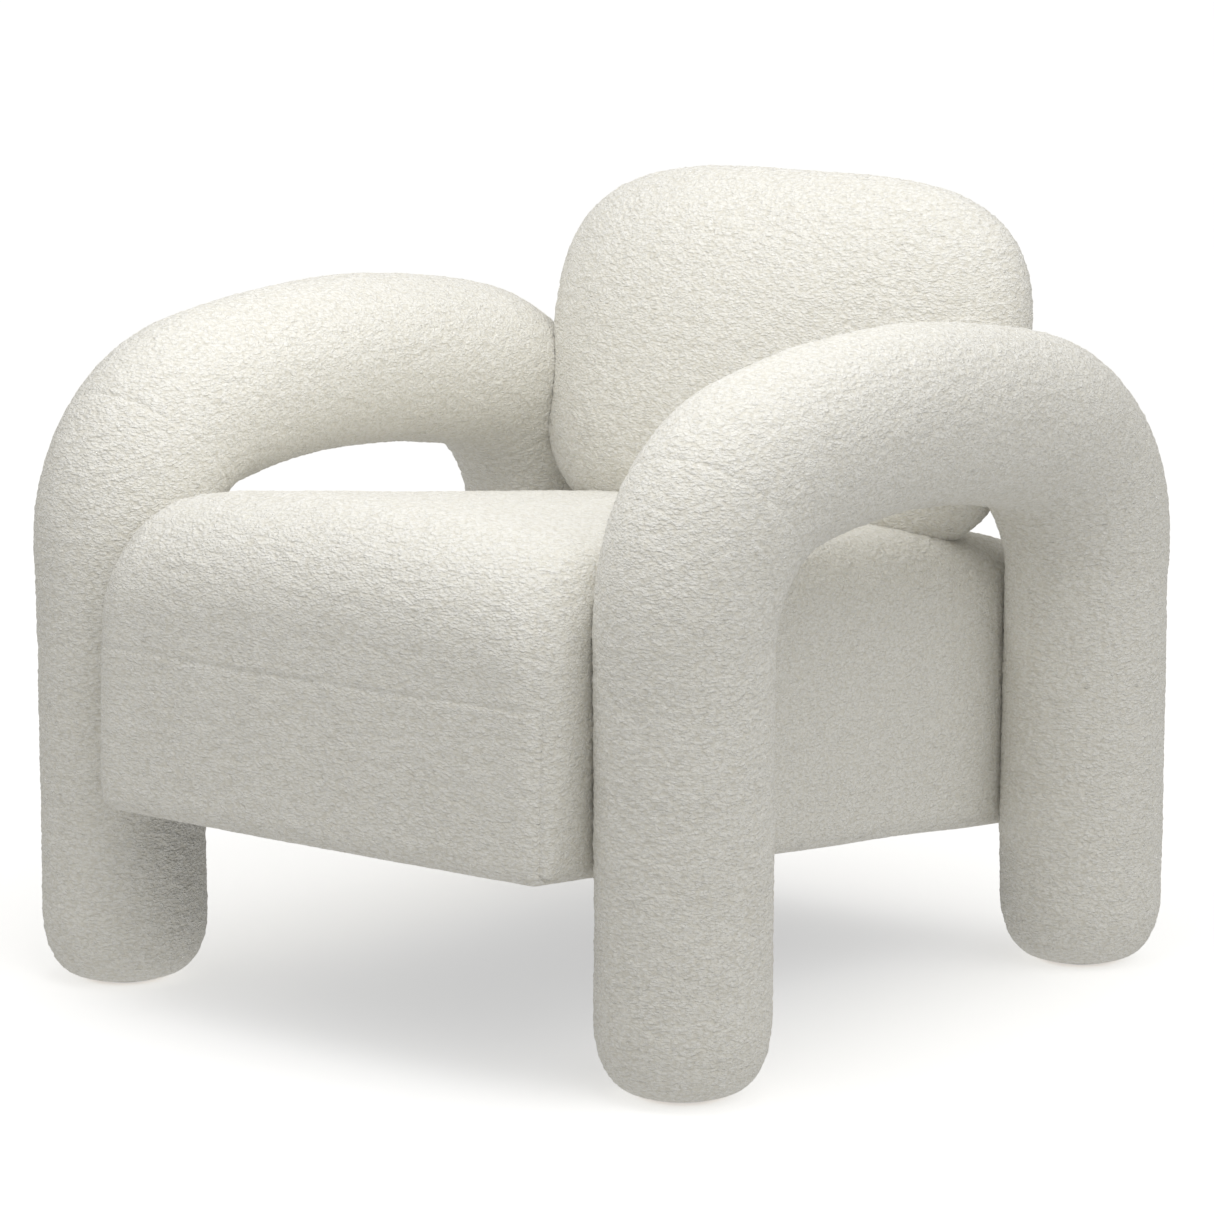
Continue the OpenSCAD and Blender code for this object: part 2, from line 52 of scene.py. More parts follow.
def corners(node):
    """Lowest and highest corner of a CAD node, in metres."""
    low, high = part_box(node)
    return np.array(low), np.array(high)


# ---------- driving sizes, in metres: places come from the frame ----------

POST_LOW, POST_HIGH = corners("left_front_post")
REAR_POST_LOW, REAR_POST_HIGH = corners("left_rear_post")
ARM_LOW, ARM_HIGH = corners("left_arm_cover")
SEAT_LOW, SEAT_HIGH = corners("seat_cover")

LEG_X = (POST_LOW[0] + POST_HIGH[0]) / 2
FRONT_Y = (POST_LOW[1] + POST_HIGH[1]) / 2
REAR_Y = (REAR_POST_LOW[1] + REAR_POST_HIGH[1]) / 2
AXIS_Z = ARM_HIGH[2] - (ARM_HIGH[0] - ARM_LOW[0]) / 2
GLIDE_H = corners("glides")[1][2]
DISC_R = corners("base_discs")[1][0] - LEG_X

# The path of an arm hoop: front elbow, long crown, rear elbow
FRONT_BEND_R = 0.143
FRONT_BEND = math.radians(78.3)
CROWN_R = 0.900
REAR_BEND_R = 0.158

# Half widths of the hoop's tube across its plane and in it, on the legs and along the arm
LEG_HALF = (0.0750, 0.0769)
ARM_HALF = (0.0868, 0.0811)
FOOT_FLAT = 0.043
FOOT_ROUND = 0.062
FOLD_DEPTH = 0.9 * MM
FOLD_PITCH = 3.6 * MM
BULGE = 4 * MM
MITRE_DEPTH, MITRE_WIDTH = 0.7 * MM, 2.2 * MM

# Seat block
SEAT_FRONT = SEAT_LOW[1]
SEAT_BACK = corners("seat_rear_cover")[1][1]
SEAT_HALF = SEAT_HIGH[0]
SEAT_CROWN_Z = SEAT_HIGH[2] + 6 * MM
SEAT_BOTTOM_Z = 0.187
TOP_FALL = math.tan(math.radians(6.8))
BOTTOM_SLOPE = math.radians(5.3)
BOTTOM_FALL = math.tan(BOTTOM_SLOPE)
ROLL_R = 0.110
BOTTOM_R = 14 * MM
# radius of the upright corners at the bottom of the seat, and how much larger it is at the top
REAR_R, REAR_R_RISE = 0.012, 0.018
SIDE_R, SIDE_R_RISE = 0.022, 0.028
SIDE_DROP, SIDE_DROP_X = 0.014, 0.225
PANEL_RISE = 0.25
FRONT_SEAM_Z = 0.338
SEAM_X = 0.256
REAR_SEAM_Z = 0.330
HEM = 0.020
SEAT_SEAM_DEPTH = 1.1 * MM
FRONT_DEPTH, REAR_DEPTH, REAR_PANEL_DEPTH = 0.040, 0.030, 0.012
GRID_BOTTOM = 0.12
# A small dent above the front seam
DIP, DIP_X, DIP_Z = 1.2 * MM, 0.185, 0.350
DIP_HALF_X, DIP_HALF_Z = 0.035, 0.012

# Back cushion, in a frame that leans with it: half sizes and the powers of its rounded outline
BACK_HALF = np.array([0.280, 0.090, 0.188])
BACK_FACE_POWER = 3.38
BACK_EDGE_POWER = 2.09
BACK_Y, BACK_Z = 0.290, 0.549
BACK_LEAN = math.radians(11)
BACK_SEAM_T = 0.016
BACK_SEAM_DEPTH, BACK_SEAM_WIDTH = 2.2 * MM, 4 * MM
PRESS_IN = 3 * MM

# Cambric under the seat
LINING_LIFT = 3.5 * MM
LINING_SAG = 3 * MM
PUCKER, PUCKER_PITCH = 0.5 * MM, 38 * MM

# Clearance between the covers of the hoops and the other bodies
COVER_GAP = 0.5 * MM

# Cloth: pressure, stiffness, frames, and the largest move of the seat and of the cushion
PRESSURE = 4
STIFFNESS = 40
CLOTH_FRAMES = 20
SEAT_CAP, BACK_CAP = 2.5 * MM, 3 * MM
SETTLE_ROUNDS = 16

# Mesh steps
TUBE_STEP = 1.85 * MM
SEAT_STEP = 7.0 * MM
BACK_STEP = 5.0 * MM


# ---------- noise and the relief of the boucle ----------

CELLS = 64
LATTICE = np.random.default_rng(11).random((CELLS, CELLS, CELLS))
YARN_STRETCH = (1.0, 1.15, 1.9)
# how fast the loops flatten towards the bottom of a seam, per metre of its depth
FLATTEN = 350


def smooth_noise(p):
    """Smooth noise from -1 to 1 at points p, one cell to a unit."""
    cell = np.floor(p).astype(int)
    f = p - cell
    f = f * f * (3 - 2 * f)
    total = np.zeros(len(p))
    for dx in (0, 1):
        wx = np.abs(1 - dx - f[:, 0])
        for dy in (0, 1):
            wy = np.abs(1 - dy - f[:, 1])
            for dz in (0, 1):
                wz = np.abs(1 - dz - f[:, 2])
                at = (cell + (dx, dy, dz)) % CELLS
                total += wx * wy * wz * LATTICE[at[:, 0], at[:, 1], at[:, 2]]
    return 2 * total - 1


def loop_height(p):
    """Height of the boucle's loops over its ground, in metres."""
    q = p * YARN_STRETCH
    loops = 1 - 1.6 * np.abs(smooth_noise(q / (5.2 * MM)))
    curls = smooth_noise(q / (3.6 * MM) + 17.3)
    clumps = smooth_noise(q / (13 * MM) + 5.1)
    return (0.85 * loops + 0.6 * curls + 0.45 * clumps) * MM


def unevenness(p):
    """Slow waves of padding, fitted, in metres."""
    return (1.1 * smooth_noise(p / 0.11 + 3.7) + 0.5 * smooth_noise(p / 0.045 + 9.2)) * MM


def groove(distance, depth, width):
    """Depth of a soft groove at a distance from its middle."""
    return depth * np.exp(-(distance / width) ** 2)


# ---------- meshes ----------

def make_object(name, points, faces):
    mesh = bpy.data.meshes.new(name)
    mesh.from_pydata(points.tolist(), [], faces.tolist())
    mesh.polygons.foreach_set("use_smooth", np.ones(len(faces), bool))
    mesh.update()
    obj = bpy.data.objects.new(name, mesh)
    bpy.context.scene.collection.objects.link(obj)
    return obj


def points_of(obj):
    co = np.empty(len(obj.data.vertices) * 3)
    obj.data.vertices.foreach_get("co", co)
    return co.reshape(-1, 3)


def normals_of(obj):
    n = np.empty(len(obj.data.vertices) * 3)
    obj.data.vertices.foreach_get("normal", n)
    return n.reshape(-1, 3)


def faces_of(obj):
    v = np.empty(len(obj.data.loops), int)
    obj.data.loops.foreach_get("vertex_index", v)
    return v.reshape(-1, 4)


def set_points(obj, p):
    obj.data.vertices.foreach_set("co", p.ravel())
    obj.data.update()


def push_out(obj, amount):
    """Moves each vertex along its normal."""
    set_points(obj, points_of(obj) + normals_of(obj) * amount[:, None])


def apply_modifiers(obj):
    graph = bpy.context.evaluated_depsgraph_get()
    mesh = bpy.data.meshes.new_from_object(obj.evaluated_get(graph))
    obj.modifiers.clear()
    old = obj.data
    obj.data = mesh
    bpy.data.meshes.remove(old)


def relax(obj, rounds):
    """Smooths the mesh a little."""
    mod = obj.modifiers.new("relax", "SMOOTH")
    mod.factor = 0.5
    mod.iterations = rounds
    apply_modifiers(obj)


def subdivide(obj):
    """One level of subdivision, applied."""
    mod = obj.modifiers.new("fine", "SUBSURF")
    mod.levels = 1
    mod.render_levels = 1
    apply_modifiers(obj)


def take_faces(obj, name, chosen):
    """A new object with the chosen faces of obj."""
    faces = faces_of(obj)[chosen]
    used, inverse = np.unique(faces, return_inverse=True)
    return make_object(name, points_of(obj)[used], inverse.reshape(-1, 4))


def face_centres(obj):
    return points_of(obj)[faces_of(obj)].mean(1)


def remove(obj):
    mesh = obj.data
    bpy.data.objects.remove(obj)
    bpy.data.meshes.remove(mesh)


# ---------- arm hoops ----------

def hoop_centres():
    """Start angle of the crown's rear end and the centres of the three curves, in the YZ plane."""
    front_end = math.pi - FRONT_BEND
    front_y = FRONT_Y + FRONT_BEND_R
    rear_y = REAR_Y - REAR_BEND_R
    crown = np.array([front_y - (CROWN_R - FRONT_BEND_R) * math.cos(front_end), AXIS_Z - CROWN_R])
    rear_start = math.acos((rear_y - crown[0]) / (CROWN_R - REAR_BEND_R))
    front_z = crown[1] + (CROWN_R - FRONT_BEND_R) * math.sin(front_end)
    rear_z = crown[1] + (CROWN_R - REAR_BEND_R) * math.sin(rear_start)
    return rear_start, np.array([front_y, front_z]), crown, np.array([rear_y, rear_z])


REAR_BEND, FRONT_ELBOW, CROWN, REAR_ELBOW = hoop_centres()
CROWN_BEND = math.pi - FRONT_BEND - REAR_BEND
LENGTHS = [FRONT_ELBOW[1], FRONT_BEND_R * FRONT_BEND, CROWN_R * CROWN_BEND,
           REAR_BEND_R * REAR_BEND, REAR_ELBOW[1]]
RUNS = np.cumsum([0] + LENGTHS)
HOOP_L = RUNS[-1]
FRONT_MITRE = RUNS[1] + FRONT_BEND_R * math.pi / 4
REAR_MITRE = RUNS[3] + REAR_BEND_R * (REAR_BEND - math.pi / 4)
ELBOWS = ((FRONT_MITRE, FRONT_BEND_R), (REAR_MITRE, REAR_BEND_R))


def hoop_path(s):
    """Points and headings (Y, Z) of the hoop's axis at distances s from the front foot."""
    pos = np.empty((len(s), 2))
    head = np.empty((len(s), 2))
    run = np.clip(np.searchsorted(RUNS, s, side="right") - 1, 0, 4)
    d = s - RUNS[run]
    up, down = run == 0, run == 4
    pos[up] = np.stack([np.full(up.sum(), FRONT_Y), s[up]], -1)
    head[up] = (0, 1)
    pos[down] = np.stack([np.full(down.sum(), REAR_Y), REAR_ELBOW[1] - d[down]], -1)
    head[down] = (0, -1)
    curves = [(FRONT_ELBOW, FRONT_BEND_R, math.pi), (CROWN, CROWN_R, math.pi - FRONT_BEND),
              (REAR_ELBOW, REAR_BEND_R, REAR_BEND)]
    for number, (centre, radius, start) in enumerate(curves, 1):
        at = run == number
        a = start - d[at] / radius
        pos[at] = centre + radius * np.stack([np.cos(a), np.sin(a)], -1)
        head[at] = np.stack([np.sin(a), -np.cos(a)], -1)
    return pos, head


def tube_half(head):
    """Half widths of the tube across and in the hoop's plane, from its heading."""
    w = np.abs(head[:, 0])
    across = LEG_HALF[0] * (1 - w) + ARM_HALF[0] * w
    within = LEG_HALF[1] * (1 - w) + ARM_HALF[1] * w
    return across, within


def foot_scale(height):
    """Scale of the tube's section near the floor, where the foot is rounded."""
    full = sum(LEG_HALF) / 2
    t = np.clip((height - GLIDE_H) / FOOT_ROUND, 0, 1)
    return (FOOT_FLAT + (full - FOOT_FLAT) * np.sqrt(1 - (1 - t) ** 2)) / full


def hoop_stations():
    """Distances along the hoop and the section's scale at each: the cover turns in under both feet."""
    low = GLIDE_H - 1 * MM
    count = int(round((HOOP_L - 2 * low) / TUBE_STEP))
    s = low + (HOOP_L - 2 * low) * np.linspace(0, 1, count + 1)
    # steps are finer at both ends, where the cover turns in
    close = low + np.array([0.0, 0.15, 0.4, 0.8]) * TUBE_STEP
    s = np.concatenate([close, s[1:-1], (HOOP_L - close)[::-1]])
    scale = foot_scale(np.minimum(s, HOOP_L - s))
    turn_in = np.linspace(DISC_R, FOOT_FLAT, 5)[:-1] / (sum(LEG_HALF) / 2)
    s = np.concatenate([np.full(4, s[0]), s, np.full(4, s[-1])])
    return s, np.concatenate([turn_in, scale, turn_in[::-1]])


def elbow_folds(s, a):
    """Soft folds gathered on the inside of both elbows."""
    inside = np.clip(-np.cos(a), 0, 1) ** 2
    total = np.zeros((len(s), len(a)))
    for middle, radius in ELBOWS:
        near = np.exp(-((s - middle) / (0.42 * radius)) ** 2)
        total += FOLD_DEPTH * (near * np.cos((s - middle) / FOLD_PITCH))[:, None] * inside
    return total


def elbow_bulge(s, a):
    """Extra fullness on the outer shoulder of both elbows."""
    shoulder = np.clip(np.cos(a - math.pi / 4), 0, 1) ** 2
    total = np.zeros((len(s), len(a)))
    for middle, radius in ELBOWS:
        total += BULGE * np.exp(-((s - middle) / (0.8 * radius)) ** 2)[:, None] * shoulder
    return total


def hoop(side):
    """The whole boucle skin of one hoop, and the station of each of its vertices."""
    s, scale = hoop_stations()
    around = int(round(2 * math.pi * sum(LEG_HALF) / 2 / TUBE_STEP))
    a = np.linspace(0, 2 * math.pi, around, endpoint=False)
    pos, head = hoop_path(s)
    across, within = tube_half(head)
    out = np.stack([-head[:, 1], head[:, 0]], -1)
    bulge = elbow_bulge(s, a)
    x = (across * scale)[:, None] * np.sin(a) + bulge * np.sin(a)
    n = (within * scale)[:, None] * np.cos(a) + bulge * np.cos(a) + elbow_folds(s, a)
    y = pos[:, :1] + out[:, :1] * n
    z = pos[:, 1:] + out[:, 1:] * n
    points = np.stack([side * (LEG_X + x), y, z], -1).reshape(-1, 3)
    i = np.arange(len(s) - 1)[:, None] * around
    j = np.arange(around)[None]
    k = (j + 1) % around
    faces = np.stack([i + j, i + k, i + around + k, i + around + j], -1).reshape(-1, 4)
    if side < 0:
        faces = faces[:, ::-1]
    return make_object("hoop", points, faces), np.repeat(s, around)


def hoop_relief(skin, s):
    """Presses the padding's waves, the loops and the mitre seams into the skin of a hoop."""
    p = points_of(skin)
    standing = np.clip((p[:, 2] - GLIDE_H) / (15 * MM), 0, 1)
    push_out(skin, unevenness(p) * standing)
    seam = sum(groove(s - at, MITRE_DEPTH, MITRE_WIDTH) for at in (FRONT_MITRE, REAR_MITRE))
    p = points_of(skin)
    push_out(skin, loop_height(p) * standing * (1 - FLATTEN * seam) - seam)


def arm_pieces(side, word):
    """The three covers of one hoop, parted at the mitre seams."""
    skin, s = hoop(side)
    hoop_relief(skin, s)
    at = s[faces_of(skin)].mean(1)
    panels = {"front_leg": at < FRONT_MITRE,
              "arm": (at >= FRONT_MITRE) & (at < REAR_MITRE),
              "rear_leg": at >= REAR_MITRE}
    made = []
    for part, chosen in panels.items():
        piece = take_faces(skin, f"{word}_{part}_boucle", chosen)
        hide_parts(f"{word}_{part}_cover", f"{word}_{part}_foam")
        made.append(piece)
    remove(skin)
    return made


def clear_of_hoops(p, gap):
    """Points p pushed out of both arm tubes."""
    pos, head = hoop_path(np.linspace(0, HOOP_L, 500))
    across, within = tube_half(head)
    out = p.copy()
    near = np.nonzero(np.abs(p[:, 0]) > LEG_X - ARM_HALF[0] - gap)[0]
    for part in np.array_split(near, len(near) // 4000 + 1):
        q = p[part]
        i = ((q[:, None, 1:] - pos[None]) ** 2).sum(-1).argmin(1)
        dx = np.abs(q[:, 0]) - LEG_X
        dyz = q[:, 1:] - pos[i]
        reach = np.hypot(dx / (across[i] + gap), np.linalg.norm(dyz, axis=1) / (within[i] + gap))
        grow = np.where(reach < 1, 1 / np.maximum(reach, 0.2), 1)
        out[part, 0] = np.sign(q[:, 0]) * (LEG_X + dx * grow)
        out[part, 1:] = pos[i] + dyz * grow[:, None]
    return out


# ---------- closed soft bodies ----------

def box_grid(low, high, step):
    """Points and quads of a box's surface in an even grid."""
    low, high = np.array(low, float), np.array(high, float)
    n = np.maximum(np.round((high - low) / step).astype(int), 1)
    keys, quads, base = [], [], 0
    for axis in range(3):
        u, v = (axis + 1) % 3, (axis + 2) % 3
        for end in (0, 1):
            iu, iv = np.meshgrid(np.arange(n[u] + 1), np.arange(n[v] + 1), indexing="ij")
            key = np.zeros(iu.shape + (3,), int)
            key[..., axis] = end * n[axis]
            key[..., u] = iu
            key[..., v] = iv
            at = base + np.arange(iu.size).reshape(iu.shape)
            quad = np.stack([at[:-1, :-1], at[1:, :-1], at[1:, 1:], at[:-1, 1:]], -1).reshape(-1, 4)
            quads.append(quad if end else quad[:, ::-1])
            keys.append(key.reshape(-1, 3))
            base += iu.size
    unique, inverse = np.unique(np.concatenate(keys), axis=0, return_inverse=True)
    return low + (high - low) * unique / n, inverse.reshape(-1)[np.concatenate(quads)]


def fillet(a, b, r):
    """Where two half spaces meet, negative inside, with a rounded edge of radius r."""
    rounded = np.hypot(np.maximum(a + r, 0), np.maximum(b + r, 0))
    return rounded + np.minimum(-r, np.maximum(a, b))


def settle(p, field, rounds):
    """Points p moved onto the surface where the field is zero."""
    h = 0.5 * MM
    for _ in range(rounds):
        f = field(p)
        slope = np.stack([(field(p + h * e) - f) / h for e in np.eye(3)], -1)
        p = p - slope * (f / np.maximum((slope ** 2).sum(-1), 0.2))[:, None]
    return p


def seat_top(x, y):
    """Height of the seat's top surface."""
    return SEAT_CROWN_Z - TOP_FALL * (y - SEAT_FRONT - ROLL_R) - SIDE_DROP * (x / SIDE_DROP_X) ** 2


def seat_bottom(y):
    """Height of the seat's underside."""
    return SEAT_BOTTOM_Z - BOTTOM_FALL * (y - SEAT_FRONT)


def seat_field(p):
    """Negative inside the seat block, zero on its surface."""
    x, y, z = np.abs(p[:, 0]), p[:, 1], p[:, 2]
    low = seat_bottom(y)
    rise = np.clip((z - low) / PANEL_RISE, 0, 1)
    front = SEAT_FRONT - y + 4 * MM * (x / SEAT_HALF) ** 2
    f = fillet(front, z - seat_top(x, y), ROLL_R)
    f = fillet(f, low - z, BOTTOM_R)
    f = fillet(f, y - SEAT_BACK, REAR_R + REAR_R_RISE * rise)
    side = x - SEAT_HALF + 5 * MM * (2 * rise - 1) ** 2
    return fillet(f, side, SIDE_R + SIDE_R_RISE * rise)


def swelling(points, faces, cap):
    """How far each point of a closed body moves when Cloth inflates it from a slightly smaller shape."""
    body = make_object("inflated", points, faces)
    start = points - normals_of(body) * cap
    set_points(body, start)
    cloth = body.modifiers.new("cloth", "CLOTH")
    cloth.settings.use_pressure = True
    cloth.settings.uniform_pressure_force = PRESSURE
    cloth.settings.tension_stiffness = STIFFNESS
    cloth.settings.compression_stiffness = STIFFNESS
    cloth.settings.effector_weights.gravity = 0
    for number in range(1, CLOTH_FRAMES + 1):
        bpy.context.scene.frame_set(number)
    apply_modifiers(body)
    bpy.context.scene.frame_set(1)
    move = points_of(body) - points
    set_points(body, points)
    normals = normals_of(body)
    remove(body)
    # the cut of the cover holds the overall size, so the mean swelling is taken off
    move -= normals * (move * normals).sum(1).mean()
    length = np.linalg.norm(move, axis=1)
    return move * (np.minimum(length, cap) / np.maximum(length, 1e-9))[:, None]


def carry(p, points, move):
    """The move of the points nearest to each p, blended."""
    tree = KDTree(len(points))
    for number, point in enumerate(points):
        tree.insert(point, number)
    tree.balance()
    carried = np.empty_like(p)
    for number, point in enumerate(p):
        near = tree.find_n(point, 4)
        weight = np.array([1 / (distance + 1 * MM) ** 2 for _, _, distance in near])
        carried[number] = weight @ move[[at for _, at, _ in near]] / weight.sum()
    return carried


def plump(obj, points, faces, cap):
    """Inflates a soft body by the swelling of its coarser copy."""
    p = points_of(obj)
    set_points(obj, p + carry(p, points, swelling(points, faces, cap)))


def seat_body():
    """The seat block as one closed body, plumped and kept out of the hoops."""
    low = (-SEAT_HALF, SEAT_FRONT, GRID_BOTTOM)
    high = (SEAT_HALF, SEAT_BACK, SEAT_CROWN_Z)
    points, faces = box_grid(low, high, SEAT_STEP)
    body = make_object("seat_body", settle(points, seat_field, SETTLE_ROUNDS), faces)
    points, faces = box_grid(low, high, 2 * SEAT_STEP)
    plump(body, settle(points, seat_field, SETTLE_ROUNDS), faces, SEAT_CAP)
    set_points(body, clear_of_hoops(points_of(body), COVER_GAP))
    relax(body, 3)
    subdivide(body)
    return body


def seat_seams(body):
    """Draws the nearest row of vertices onto each seam and returns each vertex's depth in a seam."""
    p = points_of(body)
    x, y, z = np.abs(p[:, 0]), p[:, 1], p[:, 2]
    front = y < SEAT_FRONT + FRONT_DEPTH
    rear = y > SEAT_BACK - REAR_DEPTH
    half_row = SEAT_STEP / 4
    on_front = front & (x < SEAM_X + half_row) & (np.abs(z - FRONT_SEAM_Z) < half_row)
    on_side = front & (z < FRONT_SEAM_Z + half_row) & (np.abs(x - SEAM_X) < half_row)
    on_rear = rear & (np.abs(z - REAR_SEAM_Z) < half_row)
    p[on_front, 2] = FRONT_SEAM_Z
    p[on_side, 0] = np.sign(p[on_side, 0]) * SEAM_X
    p[on_rear, 2] = REAR_SEAM_Z
    set_points(body, p)
    return np.where(on_front | on_side | on_rear, SEAT_SEAM_DEPTH, 0)


def seat_relief(body, seam):
    """Presses the padding's waves, the small dent, the loops and the seams into the seat."""
    p = points_of(body)
    front = p[:, 1] < SEAT_FRONT + FRONT_DEPTH
    across = ((p[:, 0] - DIP_X) / DIP_HALF_X) ** 2
    upward = ((p[:, 2] - DIP_Z) / DIP_HALF_Z) ** 2
    push_out(body, unevenness(p) - DIP * np.exp(-across - upward) * front)
    p = points_of(body)
    under = np.clip((p[:, 2] - seat_bottom(p[:, 1])) / (6 * MM), 0, 1)
    push_out(body, loop_height(p) * under * (1 - FLATTEN * seam) - seam)


def seat_panels(body):
    """Which faces belong to which panel: the opening that the cambric closes belongs to none."""
    x, y, z = face_centres(body).T
    x = np.abs(x)
    opening = (z < seat_bottom(y) + 1.5 * MM) & (x < SEAT_HALF - HEM - 4 * MM)
    opening &= (y > SEAT_FRONT + HEM) & (y < SEAT_BACK - HEM)
    front = (y < SEAT_FRONT + FRONT_DEPTH) & (z < FRONT_SEAM_Z) & (x < SEAM_X) & ~opening
    rear = (y > SEAT_BACK - REAR_PANEL_DEPTH) & (z < REAR_SEAM_Z) & ~opening
    return {"seat_front_boucle": (front, ["seat_front_cover"]),
            "seat_rear_boucle": (rear, ["seat_rear_cover"]),
            "seat_boucle": (~(front | rear | opening), ["seat_cover", "seat_foam"])}


def seat_pieces():
    """The seat's top and sides, its front panel and its rear panel."""
    body = seat_body()
    seat_relief(body, seat_seams(body))
    made = []
    for name, (chosen, nodes) in seat_panels(body).items():
        piece = take_faces(body, name, chosen)
        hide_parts(*nodes)
        made.append(piece)
    remove(body)
    return made


def leaning(q):
    """Cushion coordinates (across, to the rear, up) in the row frame."""
    lean = np.array([[1, 0, 0], [0, math.cos(BACK_LEAN), -math.sin(BACK_LEAN)],
                     [0, math.sin(BACK_LEAN), math.cos(BACK_LEAN)]])
    return q @ lean + (0, BACK_Y, BACK_Z)


def upright(p):
    """Row frame points in the cushion's own coordinates."""
    q = p - (0, BACK_Y, BACK_Z)
    c, s = math.cos(BACK_LEAN), math.sin(BACK_LEAN)
    return np.stack([q[:, 0], c * q[:, 1] - s * q[:, 2], s * q[:, 1] + c * q[:, 2]], -1)


def cushion_form(step):
    """Points and quads of the plump back cushion."""
    q, faces = box_grid(-BACK_HALF, BACK_HALF, step)
    d = np.abs(q / BACK_HALF)
    face = (d[:, 0] ** BACK_FACE_POWER + d[:, 2] ** BACK_FACE_POWER) ** (BACK_EDGE_POWER / BACK_FACE_POWER)
    q = q / ((face + d[:, 1] ** BACK_EDGE_POWER) ** (1 / BACK_EDGE_POWER))[:, None]
    return leaning(q), faces


def back_pieces():
    """The front and the rear panel of the back cushion."""
    body = make_object("back_body", *cushion_form(BACK_STEP))
    plump(body, *cushion_form(2.4 * BACK_STEP), BACK_CAP)
    p = clear_of_hoops(points_of(body), COVER_GAP)
    p[:, 2] = np.maximum(p[:, 2], seat_top(p[:, 0], p[:, 1]) - PRESS_IN)
    set_points(body, p)
    relax(body, 3)
    subdivide(body)
    p = points_of(body)
    seam = groove(upright(p)[:, 1] - BACK_SEAM_T, BACK_SEAM_DEPTH, BACK_SEAM_WIDTH)
    push_out(body, unevenness(p))
    p = points_of(body)
    push_out(body, loop_height(p) * (1 - FLATTEN * np.minimum(seam, 1 * MM)) - seam)
    behind = upright(face_centres(body))[:, 1] > BACK_SEAM_T
    front = take_faces(body, "back_front_boucle", ~behind)
    rear = take_faces(body, "back_rear_boucle", behind)
    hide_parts("back_front_cover", "back_front_foam")
    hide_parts("back_rear_cover", "back_rear_foam")
    remove(body)
    return [front, rear]


# ---------- cambric under the seat ----------

def dust_cover():
    """A thin cloth stretched under the seat, sagging a little between its stapled edges."""
    low, high = corners("dust_cover")
    half = high[0]
    nx, ny = 62, 94
    u, v = np.meshgrid(np.linspace(-1, 1, nx), np.linspace(-1, 1, ny), indexing="ij")
    x = u * half
    y = (low[1] + high[1]) / 2 + v * (high[1] - low[1]) / 2
    sag = LINING_SAG * (1 - u ** 2) * (1 - v ** 2)
    edge = np.maximum(np.abs(u), np.abs(v)) ** 24
    along = np.where(np.abs(u) > np.abs(v), y, x)
    pucker = PUCKER * edge * np.cos(along / PUCKER_PITCH * 2 * math.pi)
    z = seat_bottom(y) + LINING_LIFT - sag + pucker
    at = np.arange(nx * ny).reshape(nx, ny)
    faces = np.stack([at[:-1, :-1], at[:-1, 1:], at[1:, 1:], at[1:, :-1]], -1).reshape(-1, 4)
    cloth = make_object("dust_cover_cloth", np.stack([x, y, z], -1).reshape(-1, 3), faces)
    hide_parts("dust_cover")
    return cloth


# ---------- materials ----------

class Material:
    """A node material being put together."""

    def __init__(self, name):
        self.mat = bpy.data.materials.new(name)
        self.mat.use_nodes = True
        self.nodes = self.mat.node_tree.nodes
        self.links = self.mat.node_tree.links
        self.shader = self.nodes["Principled BSDF"]
        self.coords = self.nodes.new("ShaderNodeTexCoord").outputs["Object"]

    def stretched(self, scale):
        node = self.nodes.new("ShaderNodeMapping")
        node.inputs["Scale"].default_value = scale
        self.links.new(self.coords, node.inputs["Vector"])
        return node.outputs["Vector"]

    def noise(self, vector, scale, detail=2.0, distortion=0.0):
        node = self.nodes.new("ShaderNodeTexNoise")
        node.inputs["Scale"].default_value = scale
        node.inputs["Detail"].default_value = detail
        node.inputs["Distortion"].default_value = distortion
        self.links.new(vector, node.inputs["Vector"])
        return node.outputs["Fac"]

    def cells(self, vector, scale):
        node = self.nodes.new("ShaderNodeTexVoronoi")
        node.feature = "SMOOTH_F1"
        node.inputs["Scale"].default_value = scale
        node.inputs["Smoothness"].default_value = 0.35
        self.links.new(vector, node.inputs["Vector"])
        return node.outputs["Distance"]

    def math(self, operation, a, b):
        node = self.nodes.new("ShaderNodeMath")
        node.operation = operation
        for number, value in enumerate((a, b)):
            if isinstance(value, (int, float)):
                node.inputs[number].default_value = value
            else:
                self.links.new(value, node.inputs[number])
        return node.outputs[0]

    def ramp(self, value, stops, target="Base Color"):
        node = self.nodes.new("ShaderNodeValToRGB")
        ramp = node.color_ramp
        while len(ramp.elements) < len(stops):
            ramp.elements.new(0.5)
        for element, (position, colour) in zip(ramp.elements, stops):
            element.position = position
            element.color = (*colour, 1)
        self.links.new(value, node.inputs["Fac"])
        self.links.new(node.outputs["Color"], self.shader.inputs[target])

    def bump(self, height, distance, strength=1.0):
        node = self.nodes.new("ShaderNodeBump")
        node.inputs["Strength"].default_value = strength
        node.inputs["Distance"].default_value = distance
        self.links.new(height, node.inputs["Height"])
        self.links.new(node.outputs["Normal"], self.shader.inputs["Normal"])

    def set(self, **sockets):
        for name, value in sockets.items():
            self.shader.inputs[name.replace("_", " ")].default_value = value


def warp(m, vector, scale, amount):
    """The vector shifted by a noise, so that a pattern made from it curls."""
    node = m.nodes.new("ShaderNodeTexNoise")
    node.inputs["Scale"].default_value = scale
    m.links.new(vector, node.inputs["Vector"])
    shift = m.nodes.new("ShaderNodeVectorMath")
    shift.operation = "MULTIPLY_ADD"
    m.links.new(node.outputs["Color"], shift.inputs[0])
    shift.inputs[1].default_value = (amount, amount, amount)
    m.links.new(vector, shift.inputs[2])
    return shift.outputs["Vector"]


